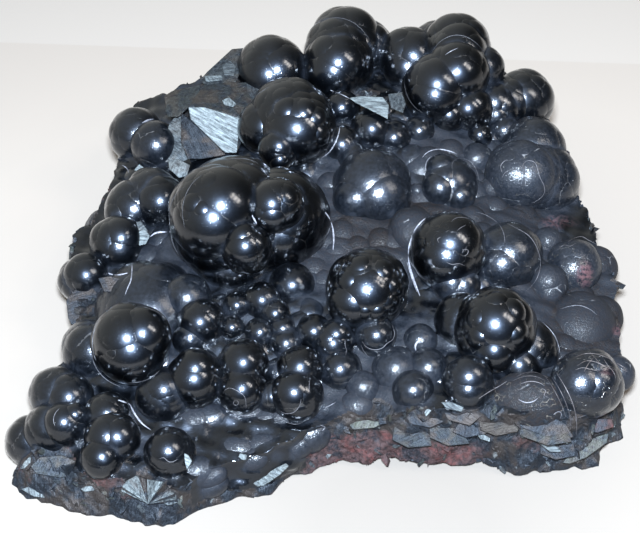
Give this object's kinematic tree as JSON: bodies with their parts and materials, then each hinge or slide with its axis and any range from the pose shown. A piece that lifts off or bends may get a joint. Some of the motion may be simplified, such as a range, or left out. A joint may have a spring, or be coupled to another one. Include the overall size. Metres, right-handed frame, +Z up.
{
  "type": "botryoidal hematite specimen",
  "caption": "Broken plate of glossy black hematite crust covered in round grape-like heads, with a flat face to rest on.",
  "frame": {"origin": "on the flat resting face, below the middle of the plan", "axes": "+X to the right and +Y to the back when the broken front edge faces the viewer, +Z up from the resting face"},
  "size_m": [0.1534, 0.1451, 0.0526],
  "materials": {
    "hematite": "polished-looking metallic black"
  },
  "bodies": {
    "root": {"hematite": "hematite"}
  },
  "joints": []
}
